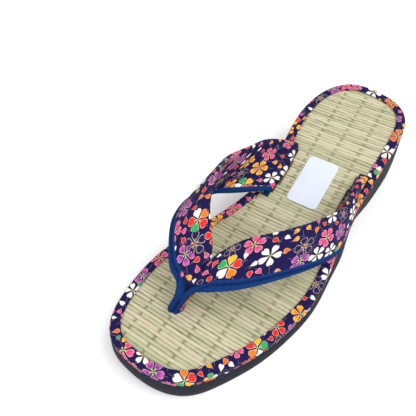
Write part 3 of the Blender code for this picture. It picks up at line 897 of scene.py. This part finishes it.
def sole():
    foot = sole_foot()
    ground = floor_height(foot[:, 0])
    low, top = ground + TREAD_CHAMFER, rush_height(EDGE[:, 0]) - RIM_DEPTH
    rings = []
    for a in np.linspace(0, np.pi / 2, 6):
        inset = TREAD_CHAMFER * (1 - np.sin(a))
        rings.append(lift(inwards(foot, inset), ground + TREAD_CHAMFER * (1 - np.cos(a))))
    for share in np.linspace(0, 1, SOLE_ROWS)[1:]:
        bulge = SIDE_BULGE * np.sin(np.pi * share)
        rings.append(lift(inwards(foot * (1 - share) + EDGE * share, -bulge), low + (top - low) * share))
    flat = flat_grid(EDGE_RUN[None] / MM, np.arange(len(rings))[:, None] * 2.0)
    made = make_grid("foam_wedge", np.array(rings), flat, strips=True)
    made.data.set_sharp_from_angle(angle=0.9)
    return made


def binding():
    """Cloth rolled over the rim: up the side, across the top and round its inner edge."""
    foot, top, half = GAP - RIM_DEPTH, GAP + BINDING_CLOTH, BINDING_CLOTH / 2
    turned, rolled = np.linspace(0, np.pi / 2, 9), np.linspace(0, np.pi, 7)[1:]
    section = [(0.0, foot + s * (top - BINDING_ROUND - foot)) for s in np.linspace(0, 0.9, 7)]
    section += [(BINDING_ROUND * (1 - np.cos(a)), top - BINDING_ROUND * (1 - np.sin(a))) for a in turned]
    section += [(s, top) for s in np.linspace(BINDING_ROUND, BINDING_WIDTH - half, 8)[1:]]
    section += [(BINDING_WIDTH - half + half * np.sin(a), top - half + half * np.cos(a)) for a in rolled]
    visible = len(section)
    section += [(BINDING_CLOTH, GAP), (BINDING_CLOTH, foot)]
    run = running_length(section) / MM
    run = np.append(run, run[-1] + 1)
    round_shoe = EDGE_RUN[-1] / MM
    phases = np.random.default_rng(5).uniform(0, 6, len(PUCKERS))
    wave = sum(np.sin(2 * np.pi * EDGE_RUN[:-1] / MM / round_shoe * k + p) for k, p in zip(PUCKERS, phases))
    columns = []
    for i, (inward, height) in enumerate(section):
        pucker = INNER_PUCKER[0] * hump(run[i] - run[visible - 6], INNER_PUCKER[1])
        pucker += OUTER_PUCKER[0] * hump(run[i] - OUTER_PLACE, OUTER_PUCKER[1])
        push = (pucker if i < visible else 0.0) * wave
        on_side = inward < 0.001
        ring = inwards(EDGE, inward - (push if on_side else 0))
        columns.append(lift(ring, rush_height(ring[:, 0]) + height + (0 if on_side else push)))
    points = np.array(columns).transpose(1, 0, 2)
    flat = flat_grid(EDGE_RUN[:, None] / MM, run[None])
    made = make_grid("binding_cloth", points, flat, wrap_rows=True)
    area, seen = ((0, round_shoe), (0, run[visible])), (SEEN_EDGE_BLOOMS, SEEN_EDGE_PETALS)
    return print_sakura(made, *scatter_seen(made, 11, area, seen, ((4.2, 6.2), (3.6, 5.0)), (5000, 6000)))


def strap():
    """Both wings in one cloth: its upper side, the fold round its rear edge, and its lining."""
    grid = np.concatenate([band_grid(True)[::-1], band_grid(False)[1:]])
    middle = len(grid) // 2
    half = STRAP_THICKNESS / 2
    share = np.linspace(0, 1, STRAP_COLUMNS)
    swell = half * (0.82 + 0.18 * np.sqrt(np.sin(np.pi * np.clip(share * 0.94 + 0.03, 0, 1))))
    fold = np.linspace(0, 1, FOLD_POINTS + 2)[1:-1]
    loops, flats = [], []
    run, rear_run = (running_length(grid[:, k]) / MM for k in (0, -1))
    run, rear_run = run - run[middle], rear_run - rear_run[middle]
    for i, (row, facing) in enumerate(zip(grid, band_normals(grid))):
        front = PIPING_WIDTH - CLOTH_TUCK - CROTCH_CLOTH * hump(i - middle, CROTCH_ROWS)
        points, out = along_row(row, facing, np.linspace(front, running_length(row)[-1], STRAP_COLUMNS))
        back = unit(points[-1] - points[-2])
        width = running_length(points)[-1] / MM
        gathered = np.clip((abs(i - middle) / (len(grid) - 1 - middle) - PLEATS_START) / PLEATS_GROW, 0, 1)
        waves = np.sin(2 * np.pi * share * PLEATS + i * PLEAT_DRIFT)
        pleats = PLEAT_DEPTH * gathered * np.sin(np.pi * share) * waves
        valley = SEAM_DEPTH * hump(i - middle, SEAM_ROWS) * np.clip(share * 12, 0, 1)
        points = points + out * (pleats - valley)[:, None]
        above = points[:, 2] - rush_height(points[:, 0])
        roll = ROLL_DEPTH * hump(above - ROLL_HEIGHT, ROLL_SPREAD) * share**1.5 * (i < middle)
        loop = list(points + out * (swell + roll)[:, None])
        for a in fold * np.pi:
            offset = swell[-1] * np.cos(a) + roll[-1] * (1 + np.cos(a)) / 2
            loop.append(points[-1] + back * half * 0.7 * np.sin(a) + out[-1] * offset)
        loops.append(loop + list((points - out * swell[:, None])[::-1]))
        lining = width + REAR_FOLD
        v = [*share * width, *width + fold * REAR_FOLD, *lining + share * width, lining + width + FRONT_FOLD]
        across = np.concatenate([share, np.ones(FOLD_POINTS), share[::-1], [0]])
        flats.append(np.stack([run[i] + (rear_run[i] - run[i]) * across, v], -1))
    flat = np.array(flats)
    made = make_grid("strap_cloth", np.array(loops), flat)
    made.data.set_sharp_from_angle(angle=1.2)
    area = ((flat[..., 0].min(), flat[..., 0].max()), (0, flat[..., 1].max()))
    seen, sizes = (SEEN_BLOOMS, SEEN_PETALS), ((5.0, 6.6), (3.8, 5.2))
    return print_sakura(made, *scatter_seen(made, 3, area, seen, sizes, (9000, 9000)), seam=0.0)


def post_line():
    top, foot = strap_point(POST_TOP), strap_point(POST_FOOT)
    rise = foot + (0, 0, POST_RISE)
    return [top, top * 0.5 + rise * 0.5, rise, foot, foot - (0, 0, SLOT_DEPTH - GAP)]


def piping(name, outer):
    """One cord with its sewn flange: along a wing's front edge, over the V and down the post."""
    side = 1 if outer else -1
    grid = band_grid(outer)
    normals = band_normals(grid) * -side
    last = len(grid) - 1
    turns = np.arange(PIPING_SIDES) * 2 * np.pi / PIPING_SIDES
    c, s = np.cos(turns), np.sin(turns)
    aside, out = np.sign(c) * abs(c) ** 0.75, np.sign(s) * abs(s) ** 0.75
    groove = GROOVE_DEPTH * hump(aside - GROOVE_PLACE, GROOVE_SPREAD)
    out = out * (FLANGE_HEIGHT + CORD_SWELL * hump(aside + 0.5, CORD_SPREAD) - groove)
    loops, widths = [], []
    for i in range(last, LAST_CORD_ROW - 1, -1):
        width = np.interp(i, (last * 0.3, last * 0.8), (FLANGE_WIDTH, PIPING_WIDTH))
        droop = FLANGE_DROOP * hump(i, DROOP_ROWS) if outer else 0.0
        base, facing = along_row(grid[i], normals[i], (aside + 1) / 2 * (width + droop) - droop)
        loops.append(base + facing * out[:, None] * PIPING_THICKNESS / 2)
        widths.append(width)
    for point, width in zip(post_line(), OUTER_CORD if outer else INNER_CORD):
        centre = point - (POST_PIPING / 2, POST_SHIFT, 0)
        sideways = side * (1 - c) * width / 2
        forwards = s * POST_PIPING / 2 - sideways * POST_TURN
        loops.append(centre + np.column_stack([forwards, sideways, np.zeros(PIPING_SIDES)]))
        widths.append(width)
    loops = np.array(loops)
    lengths = running_length(loops.mean(1))
    curve = spline(lengths, loops)
    places = np.linspace(0, lengths[-1], PIPING_ROWS)
    share = np.arange(PIPING_SIDES + 1) / PIPING_SIDES * 2
    flats = [flat_grid(x, share * np.interp(x, lengths, widths)) for x in places]
    return make_grid(name, np.array([curve(x) for x in places]), np.array(flats) / MM)


def post():
    """The gusset under the V: two sides with a narrow rear edge, deeper at the top."""
    middle_depth = POST_DEPTH_TOP * 0.6 + POST_DEPTH_FOOT * 0.4
    depths = [POST_DEPTH_TOP, middle_depth, POST_DEPTH_FOOT, POST_DEPTH_FOOT, POST_DEPTH_FOOT]
    front_edge, rear_edge = strap_point(V_MIDDLE), strap_point(V_MIDDLE, 3)
    slope = (rear_edge[2] - front_edge[2]) / (front_edge[0] - rear_edge[0])
    line = spline(POST_KNOTS, np.array(post_line()))
    share = np.linspace(0, 1, POST_COLUMNS)
    narrow = np.sqrt(1 - np.clip((share - POST_THINS) / (1 - POST_THINS), 0, 1) ** 2 * 0.92)
    zeros = np.zeros(POST_COLUMNS)
    half_width = POST_THICKNESS / 2 * (0.86 + 0.14 * np.sin(np.pi * share)) * narrow
    aside = np.column_stack([zeros, half_width, zeros])
    loops, flats = [], []
    for t in np.linspace(-POST_OVERLAP, 1, POST_ROWS):
        depth = np.interp(t, POST_KNOTS, depths)
        near = line(t) - (POST_PIPING + GAP, 0, 0)
        rise = slope * depth * share * np.clip(1 - t * 6, 0, 1)
        middle = near + np.column_stack([-depth * share, zeros, rise])
        loops.append([*(middle + aside), *(middle - aside)[::-1]])
        steps = np.concatenate([depth * share, depth + MM + depth * share]) / MM
        flats.append(flat_grid(t * POST_CLOTH, [*steps, steps[-1] + 4]))
    made = make_grid("post_cloth", np.array(loops), np.array(flats))
    rng = np.random.default_rng(8)
    placed = [(14, 5, 5.4, 0.3, "amber"), (14, 20, 5.4, 0.9, "amber")]
    blooms = scatter(rng, ((9, 26), (0, 27)), placed, (4.5, 5.5), BLOOM_CHOICES, 0.8, 200)
    petals = scatter(rng, ((7, 26), (0, 27)), [], (3.6, 4.6), PETAL_CHOICES, 0.55, 400)
    return print_sakura(made, blooms, petals)


def inside(points, ring):
    """Whether flat points lie inside a closed ring."""
    x, y = points[:, 0], points[:, 1]
    crossings = np.zeros(len(points), int)
    for (x0, y0), (x1, y1) in zip(ring, np.roll(ring, -1, 0)):
        spans = (y0 > y) != (y1 > y)
        if spans.any():
            crossings += spans & (x < x0 + (y - y0) * (x1 - x0) / (y1 - y0))
    return crossings % 2 == 1


def mat():
    """Rush strands laid across the insole, each pressed down where a warp thread ties it."""
    rng = np.random.default_rng(21)
    along = np.array([np.cos(MAT_TURN), np.sin(MAT_TURN)])
    across = np.array([-along[1], along[0]])
    ring = inwards(EDGE, BINDING_WIDTH - MAT_UNDERLAP)[::4]
    toeward, sideward = ring @ along, ring @ across
    strands = int((toeward.max() - toeward.min()) / STRAND_PITCH)
    steps = int((sideward.max() - sideward.min()) / STRAND_STEP) + 1
    w = sideward.min() + np.arange(steps) * STRAND_STEP
    section_t, section_h = np.array(STRAND_SECTION).T
    slots = [(slot_line(o), *slot_ends(o), 1 if o else -1) for o in (True, False)]
    verts, corners = [], []
    offset, sway = 0, 0.0
    for k in range(strands):
        t = toeward.min() + (k + 0.5) * STRAND_PITCH
        sway += rng.uniform(-1.4, 1.4)
        drift = STRAND_DRIFT * np.sin(w / DRIFT_SPAN + sway)
        drift += STRAND_RIPPLE * np.sin(w / RIPPLE_SPAN + k * 2.1)
        centre = along * (t + drift)[:, None] + across * w[:, None]
        keep = inside(centre, ring)
        for line, front, back, side in slots:
            aside = (centre[:, 1] - line(centre[:, 0])) * side
            within = (centre[:, 0] < front + SLOT_ENDS[1]) & (centre[:, 0] > back - SLOT_ENDS[0])
            keep &= ~(within & (aside > -SLOT_MOUTH[0]) & (aside < SLOT_MOUTH[1]))
        if keep.sum() < 2:
            continue
        column = w / WARP_PITCH + (0.5 if k % 2 else 0.0)
        nearest = np.abs(column - np.round(column)) * WARP_PITCH
        bound = hump(nearest, WARP_SPREAD)
        wide = rng.uniform(0.92, 1.1) * (1 - 0.2 * bound)
        height = STRAND_HEIGHT * (rng.uniform(0.85, 1.1) - 0.75 * bound)
        tone = rng.uniform(0, 1)
        for p, h in zip(section_t, section_h):
            flat = centre + along * (p * STRAND_PITCH * wide)[:, None]
            verts.append(lift(flat, rush_height(flat[:, 0]) - STRAND_HEIGHT * 0.75 + h * height))
        for s in np.flatnonzero(keep[:-1] & keep[1:]):
            for c in range(len(STRAND_SECTION) - 1):
                for cc, ss in ((c, s), (c, s + 1), (c + 1, s + 1), (c + 1, s)):
                    flat = w[ss] / MM + k * STRAND_SHIFT, k * STRAND_PITCH / MM + section_t[cc]
                    corners.append((offset + cc * steps + ss, *flat, tone, 1 - section_h[cc], bound[ss]))
        offset += len(STRAND_SECTION) * steps
    corners = np.array(corners).T
    used, faces = np.unique(corners[0].astype(int), return_inverse=True)
    data = bpy.data.meshes.new("rush_strands")
    data.from_pydata(np.concatenate(verts)[used].tolist(), [], faces.reshape(-1, 4).tolist())
    data.uv_layers.new(name="mm").data.foreach_set("uv", corners[1:3].T.ravel())
    # Per corner: the strand's random tone, and masks for painted shade down its sides and in the dips at the
    # warp ties
    for key, values in zip(("tone", "groove_shade", "tie_shade"), corners[3:]):
        corner_values(data, key, values)
    data.shade_smooth()
    return add_object("rush_strands", data)


def mat_bed():
    """The flat bed that shows as shade between the strands: a slab of cross strips, from toe to heel."""
    ring = inwards(EDGE, BINDING_CLOTH + GAP)
    half = len(ring) // 2
    xs = np.linspace(ring[:, 0].min() + 0.0006, ring[:, 0].max() - 0.0006, BED_STRIPS)
    left = np.interp(xs, ring[:half][::-1, 0], ring[:half][::-1, 1])
    right = np.interp(xs, ring[half:, 0], ring[half:, 1])
    top, low = rush_height(xs) - STRAND_HEIGHT * 0.8, rush_height(xs) - RIM_DEPTH + GAP
    section = [(left, top), (right, top), (right, low), (left, low)]
    points = np.array([np.column_stack([xs, y, z]) for y, z in section]).transpose(1, 0, 2)
    made = make_grid("mat_bed", points, flat_grid(xs[:, None] / MM, np.arange(5)[None] * 20.0))
    made.data.set_sharp_from_angle(angle=0.7)
    return made


def label():
    quarter = np.linspace(0, np.pi / 2, 9)
    long_half, short_half = LABEL_LENGTH / 2 - LABEL_CORNER, LABEL_WIDTH / 2 - LABEL_CORNER
    corner = np.column_stack([np.cos(quarter), np.sin(quarter)]) * LABEL_CORNER + (long_half, short_half)
    left = [*corner, *((long_half * k, LABEL_WIDTH / 2) for k in np.linspace(0.9, -0.9, 13))]
    left += [(-x, y) for x, y in corner[::-1]]
    local = np.array([*left, *((x, -y) for x, y in left[::-1])])
    turn = np.array([[np.cos(LABEL_TURN), -np.sin(LABEL_TURN)], [np.sin(LABEL_TURN), np.cos(LABEL_TURN)]])
    rings, flats = [], []
    for scale, h in LABEL_RINGS:
        shape = local * (scale, scale)
        ring = shape @ turn.T + LABEL_PLACE
        rings.append(lift(ring, rush_height(ring[:, 0]) + GAP * 0.4 + LABEL_THICKNESS * h))
        flats.append(np.concatenate([shape, shape[:1]]) / MM)
    return make_grid("heel_label", np.array(rings), np.array(flats))


def bed_look():
    """The shade between the strands, all but black in the mouths of the two slots."""
    n = Nodes("mat_shade")
    _, x, y, _ = n.place()
    shade = None
    for outer in (True, False):
        (front, back), line = slot_ends(outer), slot_line(outer)
        lean = (line(front) - line(back)) / (front - back)
        middle = n.math("MULTIPLY_ADD", x, lean, line(back) - lean * back)
        near = n.spread(n.math("ABSOLUTE", n.math("SUBTRACT", y, middle)), *SLOT_SHADE, 1.0, 0.0)
        ahead, behind = n.spread(x, back - 0.002, back), n.spread(x, front, front + 0.001, 1.0, 0.0)
        mouth = n.times(near, n.times(ahead, behind))
        shade = mouth if shade is None else n.math("MAXIMUM", shade, mouth)
    return n.finish(n.mix(shade, *BED_SHADE), 0.9)


cotton = print_cloth()
blue = piping_cloth()
dress(sole(), foam_rubber(), "sole_rubber", "wedge_sole")
dress(binding(), cotton, "printed_cloth", "edge_binding")
dress(strap(), cotton, "printed_cloth", "strap")
dress(post(), cotton, "printed_cloth", "toe_post")
dress(piping("piping_cord_outer", True), blue, "piping_cloth", "piping_outer")
dress(piping("piping_cord_inner", False), blue, "piping_cloth", "piping_inner")
dress(mat(), rush(), "rush", "rush_insole")
dress(mat_bed(), bed_look(), "rush")
dress(label(), label_cloth(), "label_cloth", "insole_label")


def aim(thing, place, target):
    thing.location = place
    thing.rotation_euler = (Vector(target) - Vector(place)).to_track_quat("-Z", "Y").to_euler()


# Floor, light and camera
floor_data = bpy.data.meshes.new("floor")
floor_corners = [(x * FLOOR_REACH, y * FLOOR_REACH, 0) for x, y in ((-1, -1), (1, -1), (1, 1), (-1, 1))]
floor_data.from_pydata(floor_corners, [], [(0, 1, 2, 3)])
floor_data.materials.append(Nodes("pale_floor").finish(FLOOR_GREY, 0.9, Specular_IOR_Level=0.1))
add_object("floor", floor_data)

world = bpy.data.worlds.new("studio")
world.use_nodes = True
sky = world.node_tree.nodes["Background"].inputs
sky["Color"].default_value = (1, 1, 1, 1)
sky["Strength"].default_value = SKY_STRENGTH
scene.world = world

for name, place, size, power in LAMPS:
    lamp_data = bpy.data.lights.new(name, "AREA")
    lamp_data.shape = "SQUARE"
    lamp_data.size = size
    lamp_data.energy = power
    aim(add_object(name, lamp_data), place, LAMP_TARGET)

camera_data = bpy.data.cameras.new("photo_view")
camera_data.lens = CAMERA_LENS
camera_data.sensor_width = CAMERA_SENSOR
camera = add_object("photo_view", camera_data)
aim(camera, SHOE_CAMERA, SHOE_TARGET)
scene.camera = camera
scene.view_settings.view_transform = "Standard"
